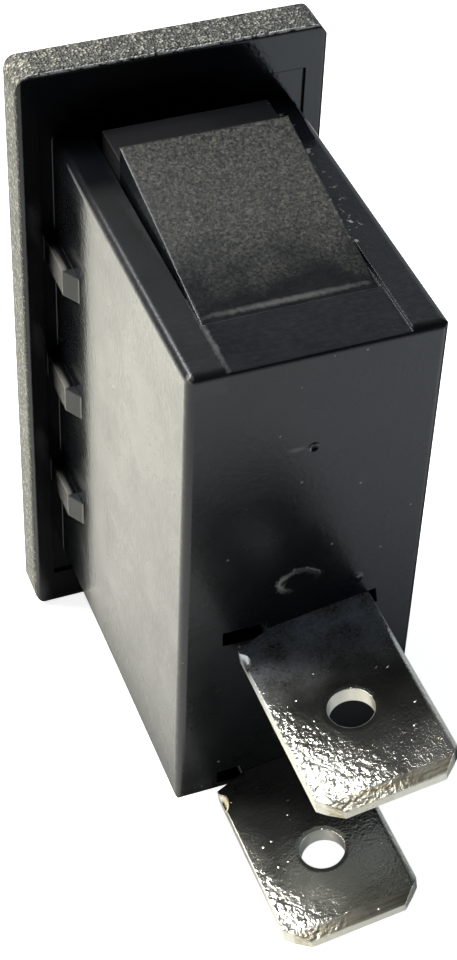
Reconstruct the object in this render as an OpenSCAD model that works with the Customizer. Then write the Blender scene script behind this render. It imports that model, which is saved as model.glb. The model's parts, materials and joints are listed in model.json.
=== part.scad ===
// Snap-in rocker switch, single pole, with two quick-connect blades.
// Frame: origin in the middle of the panel seat, +Z up the bezel, -Y to the rocker, +Y to the blades.
// The rocker, its plunger and the contact lever stand in the OFF position.

// Piece to draw, or "all"

/* [Bezel] */
// Bezel width
bezel_w = 14.2; // [13.8:0.1:18]
// Bezel height
bezel_h = 32.0; // [31:0.1:38]
// Bezel thickness
bezel_t = 2.0; // [1.6:0.1:3]
// Corner radius of the bezel outline
bezel_corner_r = 0.9; // [0.5:0.1:2]
// Rounding of the bezel's edges
bezel_edge_r = 0.25; // [0.1:0.05:0.6]
// Depth of the relief inside the panel seat
seat_relief = 0.15; // [0.1:0.05:0.4]

/* [Body] */
// Body width
body_w = 11.0; // [10.9:0.1:12]
// Body height without the tongues
body_h = 25.5; // [25.4:0.1:27]
// Body depth behind the panel seat
body_d = 16.7; // [15:0.1:20]
// Side wall thickness
side_wall = 1.2; // [1.2:0.05:1.3]
// End wall thickness
end_wall = 1.2; // [1:0.05:1.3]
// Rear wall thickness
rear_wall = 1.6; // [1.2:0.1:2]
// Rounding of the body's edges
body_edge_r = 0.35; // [0.2:0.05:0.8]
// Diameter of the gate dimple in the rear face
gate_d = 0.5; // [0.4:0.05:1.6]
// Depth of the gate dimple
gate_depth = 0.12; // [0.08:0.02:0.2]
// Height of the gate dimple above the middle
gate_z = 7.7; // [6:0.1:9]

/* [Snap tongues] */
// Tongue width
tongue_w = 7.5; // [6:0.1:7.8]
// Slit on each side of a tongue
tongue_slit = 0.15; // [0.1:0.05:0.4]
// Depth of the channel that a tongue lies in
channel_depth = 0.15; // [0.05:0.05:0.3]
// Step from the channel floor down to a tongue's root
root_step = 0.12; // [0.05:0.01:0.2]
// Distance of a tongue's root line from the rear face
root_inset = 3.05; // [2.9:0.05:4]
// Distance of the slits' ends from the rear face
hinge_inset = 4.9; // [4.3:0.1:6]
// Distance of the catch from the panel seat: the thickest panel
catch_y = 3.65; // [2.5:0.05:4.5]
// Height of the catch above the end face
catch_rise = 1.5; // [1.3:0.05:1.8]
// Height of the ledge that lies in the panel cut-out
ledge_rise = 0.85; // [0.5:0.05:0.9]
// Distance of a tongue's free end from the panel seat
tongue_end = 1.4; // [0.8:0.1:2]
// Tongue thickness
tongue_t = 1.15; // [0.9:0.05:1.3]

/* [Side ribs] */
// Ribs on each side
rib_count = 3; // [1:1:5]
// Spacing of the ribs
rib_pitch = 6.8; // [3:0.1:8]
// Rib height along the bezel
rib_h = 1.3; // [0.8:0.1:2]
// How far a rib stands off the side face
rib_proud = 0.5; // [0.2:0.05:0.6]
// Length of a rib's flat
rib_len = 2.5; // [1.5:0.1:4]
// Length of a rib's lead-in ramp
rib_ramp = 0.8; // [0.4:0.1:1.5]

/* [Blades] */
// Blade width
blade_w = 6.3; // [4.8:0.1:6.4]
// Blade thickness
blade_t = 0.8; // [0.5:0.05:0.9]
// Length of the upper blade behind the body
upper_blade_len = 10.0; // [8:0.1:12]
// Length of the lower blade behind the body
lower_blade_len = 9.5; // [8:0.1:12]
// Distance of the upper blade below the middle
upper_blade_drop = 2.66; // [2.4:0.02:3.4]
// Distance of the lower blade above the lower end face
lower_blade_lift = 0.75; // [0.3:0.05:1]
// Lean of the blades in their slots, in degrees
blade_lean = 9; // [0:1:9]
// Sideways seat of the upper blade
upper_blade_shift = -0.11; // [-0.25:0.01:0.25]
// Sideways seat of the lower blade
lower_blade_shift = 0.55; // [-0.6:0.05:0.6]
// Width of the shoulder on a blade's staked side
shoulder_w = 1.45; // [1:0.05:1.8]
// Length of the shoulder's slope behind the rear face
shoulder_len = 0.5; // [0.3:0.05:0.8]
// Diameter of a blade's latch hole
hole_d = 2.0; // [1.6:0.1:2.2]
// Distance of the latch holes from the rear face
hole_y = 5.45; // [3.5:0.05:6]
// Chamfer of a blade's tip corners
tip_chamfer = 0.95; // [0.5:0.05:1.5]
// Length of the bevel at a blade's tip
tip_bevel = 0.6; // [0.3:0.05:1]
// Thickness of a blade at its tip
tip_t = 0.42; // [0.3:0.02:0.5]
// Diameter of the staking dent in a blade's edge
stake_d = 1.2; // [0.8:0.1:1.6]
// Distance of the staking dent from the rear face
stake_y = 1.25; // [1.1:0.05:2]
// Play at a blade's straight edge in its slot
slot_play = 0.35; // [0.2:0.05:0.5]
// Reach of a slot's open end from the middle
notch_reach = 3.57; // [3.4:0.01:4]
// Height of a slot's open end
notch_h = 0.83; // [0.6:0.01:1]
// Top of a slot's open end above the blade's middle
notch_top = 0.6; // [0.4:0.05:0.8]

/* [Rocker] */
// Whole swing of the rocker, in degrees
rocker_swing = 22; // [16:1:22]
// Radius of the rocker's ends about its pivot
rocker_r = 10.6; // [10:0.1:10.7]
// Distance of the pivot behind the panel seat
pivot_y = 0.6; // [0.4:0.1:1]
// How far the rocker's pressed half stands off the bezel
rocker_proud = 0.7; // [0.4:0.1:1.2]
// Thickness of the rocker's front skin
rocker_skin = 1.3; // [1:0.1:1.5]
// Thickness of the rocker's skirt
rocker_wall = 1.1; // [0.8:0.1:1.2]
// Reach of the skirt behind the pivot
skirt_reach = 1.4; // [1.2:0.1:2]
// Diameter of the trunnions
trunnion_d = 2.0; // [1.6:0.1:2.2]
// Reach of a trunnion into its socket
trunnion_len = 0.75; // [0.5:0.05:0.75]
// Diameter of the plunger hub
hub_d = 4.4; // [4:0.1:5]
// Length of the plunger hub behind the pivot
hub_len = 5.5; // [4.5:0.1:6]

/* [Plunger and spring] */
// Plunger diameter
plunger_d = 2.5; // [2.3:0.1:2.8]
// Diameter of the plunger's round nose
nose_d = 1.8; // [1.4:0.1:2]
// Length of the plunger's nose in front of its shaft
nose_len = 1.3; // [1:0.1:2]
// Distance of the plunger's inner end behind the pivot
plunger_back = 2.6; // [2.2:0.1:3]
// Spring wire diameter
wire_d = 0.3; // [0.2:0.02:0.36]
// Turns of the spring
spring_turns = 6; // [4:1:8]

/* [Contacts] */
// Whole swing of the contact lever, in degrees
lever_swing = 18; // [12:1:18]
// Lever width
lever_w = 4.6; // [4:0.1:4.8]
// Lever strip thickness
lever_t = 0.6; // [0.4:0.05:0.7]
// Length of each lever arm
lever_arm = 7.6; // [7.4:0.1:8.4]
// Slope of the trough that the plunger rides in, in degrees
trough_angle = 16; // [14:1:18]
// Half length of the trough
trough_half = 2.4; // [2.2:0.1:3]
// Diameter of the lever's pivot ridge
ridge_d = 1.2; // [1:0.1:1.3]
// Strip metal in front of the pivot ridge
ridge_cover = 0.15; // [0.1:0.05:0.3]
// Height of the pivot above the terminal feet
fulcrum_h = 2.3; // [2.2:0.1:2.6]
// Width of a fulcrum ear
ear_w = 2.8; // [2.2:0.1:3]
// Width of the terminal feet
foot_w = 6.8; // [6.6:0.1:7]
// Play beside the lower foot in the end wall
foot_play = 0.15; // [0.05:0.05:0.2]
// Height of the post that stops the lever's free arm
stop_h = 1.8; // [1.2:0.1:2.4]
// Distance of the moving contact from the lever's pivot
contact_arm = 6.3; // [6:0.1:6.4]
// Diameter of the moving contact
contact_d = 2.6; // [2:0.1:2.6]
// Thickness of the moving contact's head
contact_t = 0.9; // [0.7:0.1:1]
// Dome radius of the moving contact
dome_r = 4.0; // [3:0.1:6]
// Diameter of the fixed contact
fixed_d = 3.0; // [2.6:0.1:3.2]
// Diameter of the contact rivets' shanks
shank_d = 1.4; // [1:0.1:1.6]
// Diameter of the moving contact's rivet head
upset_d = 2.0; // [1.8:0.1:2.4]
// Thickness of the moving contact's rivet head
upset_t = 0.3; // [0.2:0.05:0.4]

/* [Clearances] */
// Radial clearance of pivots and of the plunger
running_gap = 0.05; // [0.03:0.01:0.08]
// Clearance of a blade in its passage
passage_gap = 0.05; // [0.03:0.01:0.08]
// Gap left between pieces that meet at the end of a swing
touch_gap = 0.02; // [0.02:0.01:0.05]
// Gap beside the rocker
side_gap = 0.2; // [0.15:0.05:0.3]
// Gap beyond the rocker's ends
end_gap = 0.25; // [0.2:0.05:0.4]
// Gap between the lever and the fulcrum ears
ear_gap = 0.3; // [0.2:0.05:0.3]
// Gap around the switch in the panel cut-out, at the ribs
cutout_side_gap = 0.1; // [0.05:0.05:0.3]
// Gap around the switch in the panel cut-out, at the tongues
cutout_end_gap = 0.3; // [0.1:0.05:0.35]

/* [Hidden] */
$fn = 64;
eps = 0.01;
over = 1;

cutout_w = body_w + 2 * (rib_proud + cutout_side_gap);
cutout_h = body_h + 2 * (ledge_rise + cutout_end_gap);
chamber_w = body_w - 2 * side_wall;
chamber_h = body_h - 2 * end_wall;
chamber_back = body_d - rear_wall;
aperture_h = 2 * (rocker_r + end_gap);
socket_depth = trunnion_len + running_gap;

window_w = tongue_w + 2 * tongue_slit;
tongue_root = body_d - root_inset;
tongue_hinge = body_d - hinge_inset;
pad_floor = channel_depth + root_step;

foot_t = blade_t;
foot_y = chamber_back - foot_t;
upper_blade_z = -upper_blade_drop;
lower_blade_z = -body_h / 2 + lower_blade_lift;
blade_half_rise = blade_w / 2 * sin(blade_lean) + blade_t / 2 * cos(blade_lean);
neck_edge = blade_w / 2 - shoulder_w;
passage_far = blade_w / 2 + slot_play;
passage_near = neck_edge + passage_gap;
passage_t = blade_t + 2 * passage_gap;
foot_slot_w = foot_w + 2 * foot_play;

rocker_w = chamber_w - 2 * side_gap;
rocker_half = rocker_swing / 2;
valley = pivot_y + bezel_t + rocker_proud;
bore_front = valley - rocker_skin;
bore_d = plunger_d + 2 * running_gap;

lever_half = lever_swing / 2;
lever_ratio = lever_swing / rocker_swing;
lever_y = foot_y - fulcrum_h;
ridge_r = ridge_d / 2;
trough_y = -ridge_r - ridge_cover;
arm_y = trough_y - trough_half * tan(trough_angle);
arm_back = arm_y + lever_t;
ear_t = foot_t;
ear_x = lever_w / 2 + ear_gap;
ridge_len = 2 * (ear_x + ear_t) + ear_gap;

contact_y = arm_back + contact_t;
dome_y = contact_y - dome_r;
fixed_y = lever_y + dome_y * cos(lever_half) + contact_arm * sin(lever_half) + dome_r + touch_gap;
fixed_z = dome_y * sin(lever_half) - contact_arm * cos(lever_half);
stop_y = lever_y + arm_back * cos(lever_half) + lever_arm * sin(lever_half) + touch_gap;
stop_z = lever_arm * cos(lever_half) - arm_back * sin(lever_half);

// Reach of the plunger's nose centre to the trough when the rocker leans by t degrees.
pivot_span = lever_y - pivot_y;
function trough_tilt(t) = trough_angle - lever_ratio * t;
function nose_reach(t) =
    (trough_y * cos(trough_angle) + pivot_span * cos(trough_tilt(t)) - nose_d / 2) / cos(t - trough_tilt(t));
reach_step = 0.5;
nose_y = min([for (t = [0 : reach_step : rocker_half]) nose_reach(t)]) - touch_gap;

wire_r = wire_d / 2;
coil_r = bore_d / 2 - wire_d - running_gap;
turn_steps = 24;
wire_sides = 8;

// Draws a profile of (x, z) points from one depth to another.
module along_y(from, to)
    translate([0, to, 0]) rotate([90, 0, 0]) linear_extrude(to - from) children();

// Draws a profile of (y, z) points across the middle.
module along_x(width)
    translate([-width / 2, 0, 0]) rotate([90, 0, 90]) linear_extrude(width) children();

// Draws a profile of (x, y) points centred on a height.
module along_z(height)
    translate([0, 0, -height / 2]) linear_extrude(height) children();

module rod_x(d, len)
    rotate([0, 90, 0]) cylinder(d = d, h = len, center = true);

module rod_y(d, from, to)
    translate([0, from, 0]) rotate([-90, 0, 0]) cylinder(d = d, h = to - from);

module rounded_rect(w, h, r) {
    square([w - 2 * r, h], center = true);
    square([w, h - 2 * r], center = true);
    for (x = [-1, 1], y = [-1, 1])
        translate([x * (w / 2 - r), y * (h / 2 - r)]) circle(r);
}

// Block from one depth to another with rounded outline corners and rounded edges.
module soft_block(w, h, from, to, corner_r, edge_r) {
    middle = (from + to) / 2;
    intersection() {
        along_y(from, to) rounded_rect(w, h, corner_r);
        translate([0, middle, 0]) along_x(w) rounded_rect(to - from, h, edge_r);
        translate([0, middle, 0]) along_z(h) rounded_rect(w, to - from, edge_r);
    }
}

// Places children on both end faces: depth along Y, height above the end face along Z.
module on_ends()
    for (end = [0, 1])
        mirror([0, 0, end]) translate([0, 0, body_h / 2]) children();

module on_sides()
    for (side = [0, 1])
        mirror([side, 0, 0]) translate([body_w / 2, 0, 0]) children();

module bezel_plate()
    difference() {
        soft_block(bezel_w, bezel_h, -bezel_t, 0, bezel_corner_r, bezel_edge_r);
        along_y(-seat_relief, over) square([cutout_w, cutout_h], center = true);
    }

module rib()
    linear_extrude(rib_h, center = true)
        polygon([
            [-side_wall / 2, -bezel_t / 2], [rib_proud, -bezel_t / 2],
            [rib_proud, rib_len], [0, rib_len + rib_ramp], [-side_wall / 2, rib_len + rib_ramp]
        ]);

module ribs()
    on_sides()
        for (i = [0 : rib_count - 1])
            translate([0, 0, (i - (rib_count - 1) / 2) * rib_pitch]) rib();

// Snap tongue: root at the rear, ledge and catch toward the bezel.
module tongue()
    along_x(tongue_w)
        polygon([
            [tongue_root, -pad_floor], [catch_y, catch_rise], [catch_y, ledge_rise],
            [tongue_end, ledge_rise], [tongue_end, ledge_rise - tongue_t],
            [tongue_hinge, -end_wall], [tongue_root, -end_wall]
        ]);

module tongue_cuts() {
    translate([-window_w / 2, -seat_relief, -channel_depth])
        cube([window_w, body_d + over, over]);
    translate([-window_w / 2, -seat_relief, -pad_floor])
        cube([window_w, tongue_root + seat_relief, over]);
    translate([-window_w / 2, -seat_relief, -end_wall - eps])
        cube([window_w, tongue_hinge + seat_relief, end_wall + over]);
}

module chamber() {
    translate([-chamber_w / 2, 0, -chamber_h / 2]) cube([chamber_w, chamber_back, chamber_h]);
    translate([-chamber_w / 2, -bezel_t - over, -aperture_h / 2])
        cube([chamber_w, bezel_t + over + eps, aperture_h]);
    translate([0, pivot_y, 0]) rod_x(trunnion_d + 2 * running_gap, chamber_w + 2 * socket_depth);
}

// Leaning passage of a blade's neck and the slot's open end beside it, about the blade's middle.
module slot_profile(shift) {
    translate([shift, 0])
        rotate(-blade_lean)
            translate([-passage_far, -passage_t / 2])
                square([passage_far + passage_near, passage_t]);
    translate([shift + neck_edge, notch_top - notch_h])
        square([notch_reach - shift - neck_edge, notch_h]);
}

// Room below the lower blade's neck, open to the end face.
module neck_room_profile() {
    slope = tan(blade_lean);
    below = -lower_blade_lift - over;
    translate([lower_blade_shift, 0])
        polygon([
            [-passage_far, passage_far * slope], [passage_near, -passage_near * slope],
            [passage_near, below], [-passage_far, below]
        ]);
}

module blade_slots() {
    translate([0, 0, upper_blade_z])
        along_y(chamber_back - eps, body_d + over) slot_profile(upper_blade_shift);
    translate([0, 0, lower_blade_z])
        along_y(chamber_back - eps, body_d + over) {
            slot_profile(lower_blade_shift);
            neck_room_profile();
        }
    translate([-foot_slot_w / 2, foot_y - passage_gap, -body_h / 2 - over])
        cube([foot_slot_w, foot_t + 2 * passage_gap, end_wall + over + eps]);
}

module gate_dimple() {
    ball_r = (gate_d * gate_d / 4 + gate_depth * gate_depth) / (2 * gate_depth);
    translate([0, body_d + ball_r - gate_depth, gate_z]) sphere(ball_r);
}

// Post that the lever's free arm rests on in the OFF position.
module lever_stop()
    translate([-lever_w / 2, stop_y, stop_z - stop_h / 2])
        cube([lever_w, chamber_back - stop_y + eps, stop_h]);

module housing()
    color("#1b1c1f") {
        difference() {
            union() {
                bezel_plate();
                soft_block(body_w, body_h, -bezel_t / 2, body_d, body_edge_r, body_edge_r);
                ribs();
            }
            on_ends() tongue_cuts();
            chamber();
            blade_slots();
            gate_dimple();
        }
        on_ends() tongue();
        lever_stop();
    }

module rocker_at_rest()
    translate([0, pivot_y, 0]) rotate([rocker_half, 0, 0]) children();

module rocker_profile(r, depth, reach)
    intersection() {
        circle(r);
        polygon([
            [-depth, 0], [-depth - rocker_r * tan(rocker_half), rocker_r], [reach, rocker_r],
            [reach, -rocker_r], [-depth - rocker_r * tan(rocker_half), -rocker_r]
        ]);
    }

module rocker()
    color("#16171a") rocker_at_rest() {
        difference() {
            union() {
                difference() {
                    along_x(rocker_w) rocker_profile(rocker_r, valley, skirt_reach);
                    along_x(rocker_w - 2 * rocker_wall)
                        rocker_profile(rocker_r - rocker_wall, bore_front, skirt_reach + over);
                }
                rod_y(hub_d, -bore_front - eps, hub_len);
            }
            rod_y(bore_d, -bore_front, hub_len + over);
        }
        for (side = [0, 1])
            mirror([side, 0, 0])
                translate([(rocker_w - rocker_wall + side_gap + trunnion_len) / 2, 0, 0])
                    rod_x(trunnion_d, rocker_wall + side_gap + trunnion_len);
    }

module plunger()
    color("#d9d4c4") rocker_at_rest() {
        rod_y(plunger_d, plunger_back, nose_y - nose_len);
        rod_y(nose_d, plunger_back, nose_y);
        translate([0, nose_y, 0]) sphere(d = nose_d);
    }

// Ring of wire points after a number of steps round the spring.
function spring_ring(step) =
    let (
        last = spring_turns * turn_steps,
        from = -bore_front + wire_r,
        y = from + (plunger_back - wire_r - from) * step / last,
        turn = step * 360 / turn_steps
    )
    [for (k = [0 : wire_sides - 1])
        let (a = k * 360 / wire_sides, r = coil_r + wire_r * cos(a))
        [r * cos(turn), y + wire_r * sin(a), r * sin(turn)]];

module plunger_spring() {
    last = spring_turns * turn_steps;
    points = [for (step = [0 : last]) each spring_ring(step)];
    sides = [
        for (step = [0 : last - 1], k = [0 : wire_sides - 1])
            let (a = step * wire_sides + k, b = step * wire_sides + (k + 1) % wire_sides)
            [a, b, b + wire_sides, a + wire_sides]
    ];
    first_cap = [for (k = [wire_sides - 1 : -1 : 0]) k];
    last_cap = [for (k = [0 : wire_sides - 1]) last * wire_sides + k];
    color("#8f9296") rocker_at_rest() polyhedron(points, concat(sides, [first_cap, last_cap]));
}

module lever_at_rest()
    translate([0, lever_y, 0]) rotate([-lever_half, 0, 0]) children();

module contact_lever()
    color("#b98a4a") lever_at_rest() {
        difference() {
            along_x(lever_w)
                polygon([
                    [arm_y, -lever_arm], [arm_y, -trough_half], [trough_y, 0],
                    [arm_y, trough_half], [arm_y, lever_arm], [arm_back, lever_arm],
                    [arm_back, trough_half], [trough_y + lever_t, 0],
                    [arm_back, -trough_half], [arm_back, -lever_arm]
                ]);
            translate([0, 0, -contact_arm]) rod_y(shank_d, arm_y - over, arm_back + over);
        }
        rod_x(ridge_d, ridge_len);
    }

// Domed rivet through the lever's lower arm.
module moving_contact()
    color("#c9c9c4") lever_at_rest() translate([0, 0, -contact_arm]) {
        rod_y(upset_d, arm_y - upset_t, arm_y);
        rod_y(shank_d, arm_y - eps, arm_back + eps);
        intersection() {
            rod_y(contact_d, arm_back, contact_y + over);
            translate([0, dome_y, 0]) sphere(dome_r);
        }
    }

// Blade from the terminal foot to its tip, drawn about its own middle; its shoulder rests on the rear face.
module blade(len)
    difference() {
        tip = body_d + len;
        root = body_d + passage_gap;
        intersection() {
            linear_extrude(blade_t, center = true)
                polygon([
                    [-blade_w / 2, foot_y], [neck_edge, foot_y],
                    [neck_edge, root], [blade_w / 2, root + shoulder_len],
                    [blade_w / 2, tip - tip_chamfer], [blade_w / 2 - tip_chamfer, tip],
                    [-blade_w / 2 + tip_chamfer, tip], [-blade_w / 2, tip - tip_chamfer]
                ]);
            along_x(blade_w + over)
                polygon([
                    [foot_y, -blade_t / 2], [tip - tip_bevel, -blade_t / 2], [tip, -tip_t / 2],
                    [tip, tip_t / 2], [tip - tip_bevel, blade_t / 2], [foot_y, blade_t / 2]
                ]);
        }
        translate([0, body_d + hole_y, 0]) cylinder(d = hole_d, h = blade_t + over, center = true);
        translate([(blade_w + stake_d / 2) / 2, body_d + stake_y, blade_t / 2]) sphere(d = stake_d);
    }

module seated_blade(len, shift, z)
    translate([shift, 0, z]) rotate([0, blade_lean, 0]) blade(len);

module foot(from_z, to_z)
    translate([-foot_w / 2, foot_y, from_z]) cube([foot_w, foot_t, to_z - from_z]);

// Ear bent forward from the foot, notched for the lever's pivot ridge.
module fulcrum_ear() {
    notch_d = ridge_d + 2 * running_gap;
    tip = lever_y - ridge_r;
    translate([ear_x + ear_t / 2, 0, 0])
        along_x(ear_t)
            difference() {
                translate([tip, -ear_w / 2]) square([foot_y - tip + eps, ear_w]);
                translate([lever_y, 0]) circle(d = notch_d);
                translate([tip - over, -notch_d / 2]) square([lever_y - tip + over, notch_d]);
            }
}

module common_terminal()
    color("#b9bbbc") {
        foot(upper_blade_z - blade_half_rise, ear_w / 2);
        for (side = [0, 1])
            mirror([side, 0, 0]) fulcrum_ear();
        seated_blade(upper_blade_len, upper_blade_shift, upper_blade_z);
    }

module load_terminal()
    color("#b9bbbc") {
        difference() {
            foot(-body_h / 2, fixed_z + fixed_d / 2);
            translate([0, 0, fixed_z]) rod_y(shank_d, foot_y - over, chamber_back + over);
        }
        seated_blade(lower_blade_len, lower_blade_shift, lower_blade_z);
    }

module fixed_contact()
    color("#c9c9c4") translate([0, 0, fixed_z]) {
        rod_y(fixed_d, fixed_y, foot_y);
        rod_y(shank_d, fixed_y, chamber_back);
    }

housing();
rocker();
plunger();
plunger_spring();
contact_lever();
moving_contact();
common_terminal();
load_terminal();
fixed_contact();
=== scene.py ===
import json
import math

import bmesh
import bpy
from bpy.props import FloatProperty, FloatVectorProperty, PointerProperty
from mathutils import Matrix, Vector


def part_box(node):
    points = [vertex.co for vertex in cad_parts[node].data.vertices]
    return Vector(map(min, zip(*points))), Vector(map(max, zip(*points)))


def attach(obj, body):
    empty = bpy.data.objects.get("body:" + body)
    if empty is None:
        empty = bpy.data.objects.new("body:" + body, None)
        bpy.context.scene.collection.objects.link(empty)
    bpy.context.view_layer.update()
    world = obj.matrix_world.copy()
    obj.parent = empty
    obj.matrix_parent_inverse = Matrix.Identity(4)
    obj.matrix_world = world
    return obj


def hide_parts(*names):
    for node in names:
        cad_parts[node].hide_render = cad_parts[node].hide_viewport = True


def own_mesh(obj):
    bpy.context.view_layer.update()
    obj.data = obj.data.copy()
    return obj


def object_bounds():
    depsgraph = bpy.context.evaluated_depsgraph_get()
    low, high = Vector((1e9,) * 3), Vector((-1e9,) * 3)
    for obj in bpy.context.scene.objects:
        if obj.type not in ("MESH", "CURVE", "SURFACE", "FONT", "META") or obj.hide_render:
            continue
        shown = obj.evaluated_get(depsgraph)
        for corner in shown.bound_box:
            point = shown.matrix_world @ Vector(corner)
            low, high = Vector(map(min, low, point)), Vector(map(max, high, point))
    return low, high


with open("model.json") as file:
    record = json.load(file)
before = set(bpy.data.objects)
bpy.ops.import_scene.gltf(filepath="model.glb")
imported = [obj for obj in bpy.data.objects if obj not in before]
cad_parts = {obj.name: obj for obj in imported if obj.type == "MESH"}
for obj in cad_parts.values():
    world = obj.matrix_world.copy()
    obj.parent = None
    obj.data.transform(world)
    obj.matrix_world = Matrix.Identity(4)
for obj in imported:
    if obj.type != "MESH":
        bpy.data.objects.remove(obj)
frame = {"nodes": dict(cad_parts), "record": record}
cad_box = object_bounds()

bl_info = {
    "name": "Snap-in rocker switch",
    "version": (1, 0, 0),
    "blender": (4, 5, 0),
    "location": "View3D > Sidebar > Switch",
    "description": "Finishes a snap-in rocker switch: moulded nylon, plated blades, contact parts and a stage",
    "category": "Object",
}

MM = 0.001
PER_MM = 1000.0

# Places on the moulding, in millimetres.
FRONT_Y, REAR_Y = (corner.y * PER_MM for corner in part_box("housing"))
BEZEL_X, BEZEL_Z = (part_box("housing")[1][axis] * PER_MM for axis in (0, 2))
SIDE_X = 5.5
END_Z = 12.75
RIB_TO_Y = 2.5
PAD_HALF = 3.75
PAD_FROM_Y = 3.65
PAD_TO_Y = 13.65
SLIT_X = -(PAD_HALF + 0.4)
GATE_AT = (0.2, REAR_Y, 0.05)
GATE_WIDE, GATE_TALL = 1.1, 0.75
STUB_AT = (-2.5, REAR_Y, -0.7)

# Scuffs and painted highlights on the moulding: the place, how far it spreads along each axis, and its strength.
SCUFFS_AND_HIGHLIGHTS = (
    ((0, 13.2, END_Z - 0.2), (4.6, 0.2, 0.6), 0.45),  # painted highlight line across the upper tongue's root
    ((3.78, 14.4, END_Z), (0.2, 3.4, 0.4), 0.6),  # painted highlight line along the ridge beside that root
    ((5.4, REAR_Y - 0.15, END_Z), (0.25, 0.3, 0.3), 1.0),  # painted highlight on the rear corner
    ((0.75, REAR_Y, 7.76), (0.5, 0.2, 0.16), 0.4),  # smear by the pit
)

# Blades: half the width, where the edge starts to roll, and the slope of the line of a bend, in millimetres.
BLADE_HALF = 3.15
ROLL_X = BLADE_HALF - 0.2
BEND_SLOPE = 0.536
# Each blade: the node, its mount, where the line of its bend meets the rear face's plane, its share of the droop,
# and how much oil covers it; the pale oil lies on the upper blade only, whose root is in shadow, and lifts that
# shade as painted light.
BLADES = (
    ("common_terminal", "upper_blade", 6.5, 1.0, 0.9),
    ("load_terminal", "lower_blade", 7.75, 0.5, 0.0),
)

# Typical IOR of nylon, and the samples that round an edge.
NYLON_IOR = 1.53
EDGE_SAMPLES = 6

# Camera sensor in millimetres, and the card's glow in mirrors.
SENSOR = 36
MIRROR_GLOW = 0.03
# Windows of the sky: the direction, the cosine where each starts and is full, and its least and most light.
WINDOWS = (
    ((0.35, -0.9, 0.25), -0.4, 0.8, 0.02, 0.1),
    ((-0.66, -0.67, 0.36), 0.9, 0.98, 0.0, 0.6),
)
# Lamps: the name, place and target in metres, width in metres, level, tint, and whether mirrors show it.
LAMPS = (
    ("key softbox", (0.085, -0.085, 0.19), (0, 0, 0), 0.11, 19.0, (0.97, 0.98, 1.0), True),
    ("side wash", (-0.045, 0.045, 0.005), (-0.014, 0.034, -0.016), 0.02, 6.6, (0.74, 0.88, 1.0), True),
    ("low fill", (0.022, -0.022, 0.022), (0.009, 0.0, -0.016), 0.024, 20.5, (1.0, 0.95, 0.76), False),
)

MOUNTS = {mount["name"]: mount for mount in frame["record"]["mounts"]}
JOINTS = {joint["name"]: joint for joint in frame["record"]["behaviour"]["joints"]}


def linear(code):
    """Scene-linear colour of an sRGB hex code."""
    parts = [int(code[i:i + 2], 16) / 255 for i in (1, 3, 5)]
    return [p / 12.92 if p <= 0.04045 else ((p + 0.055) / 1.055) ** 2.4 for p in parts]


def rgba(colour):
    return (*colour, 1.0)


def add(tree, kind, inputs=None, **settings):
    """Adds a node; inputs gives a socket a value, or links it to another node or output."""
    node = tree.nodes.new(kind)
    for name, value in settings.items():
        setattr(node, name, value)
    for key, value in (inputs or {}).items():
        if isinstance(value, bpy.types.Node):
            value = next(out for out in value.outputs if out.enabled)
        if isinstance(value, bpy.types.NodeSocket):
            tree.links.new(value, node.inputs[key])
        else:
            node.inputs[key].default_value = value
    return node


def new_material(name):
    """An empty material with its tree and its place on the piece in millimetres."""
    material = bpy.data.materials.new(name)
    material.use_nodes = True
    tree = material.node_tree
    tree.nodes.clear()
    spot = add(tree, "ShaderNodeTexCoord")
    place = add(tree, "ShaderNodeVectorMath", {0: spot.outputs["Object"], "Scale": PER_MM}, operation="SCALE")
    return material, tree, place


def wear(node, material):
    """Puts a material on a CAD node."""
    for slot in frame["nodes"][node].material_slots:
        slot.material = material


class SwitchMoulding(bpy.types.PropertyGroup):
    """Finish of the black mouldings."""

    nylon: FloatVectorProperty(
        name="Nylon", description="Colour of the moulded housing", subtype="COLOR", default=linear("#0b0c0f"))
    # Partly the texture's own grey and partly a painted sheen: lighter than the plastic, it stands in for light that
    # the rough rim catches.
    spark: FloatVectorProperty(
        name="Spark-eroded", description="Colour of the textured bezel", subtype="COLOR", default=linear("#4f4f49"))
    # Pale colour of painted glints and highlights on the texture and the gate's rim, and of pale specks and flecks.
    speck_and_painted_glint: FloatVectorProperty(
        name="Glint", description="Colour of the texture's peaks", subtype="COLOR", default=linear("#9c9b93"))
    pad: FloatVectorProperty(
        name="Tongue pad", description="Colour of the grained tongue pads", subtype="COLOR",
        default=linear("#403e36"))
    # Pale colour of wear and dust, also used to paint highlight lines on edges, ribs and the tongue's root.
    wear_and_painted_highlight: FloatVectorProperty(
        name="Worn edge", description="Colour of scuffed edges", subtype="COLOR", default=linear("#777675"))
    # Painted highlight: the flash on the parting edge is painted near-white, as it catches the light.
    flash_painted_highlight: FloatVectorProperty(
        name="Flash", description="Colour of torn flash on the parting edge", subtype="COLOR",
        default=linear("#e6e6e0"))
    rocker: FloatVectorProperty(
        name="Rocker", description="Colour of the rocker", subtype="COLOR", default=linear("#141517"))
    spark_grain: FloatProperty(
        name="Spark grain", description="Grain of the spark-eroded bezel", unit="LENGTH", default=0.11 * MM)
    pad_grain: FloatProperty(
        name="Pad grain", description="Grain of the tongue pads", unit="LENGTH", default=0.15 * MM)
    edge: FloatProperty(
        name="Edge radius", description="Softness of the moulded edges", unit="LENGTH", default=0.07 * MM)


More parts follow.
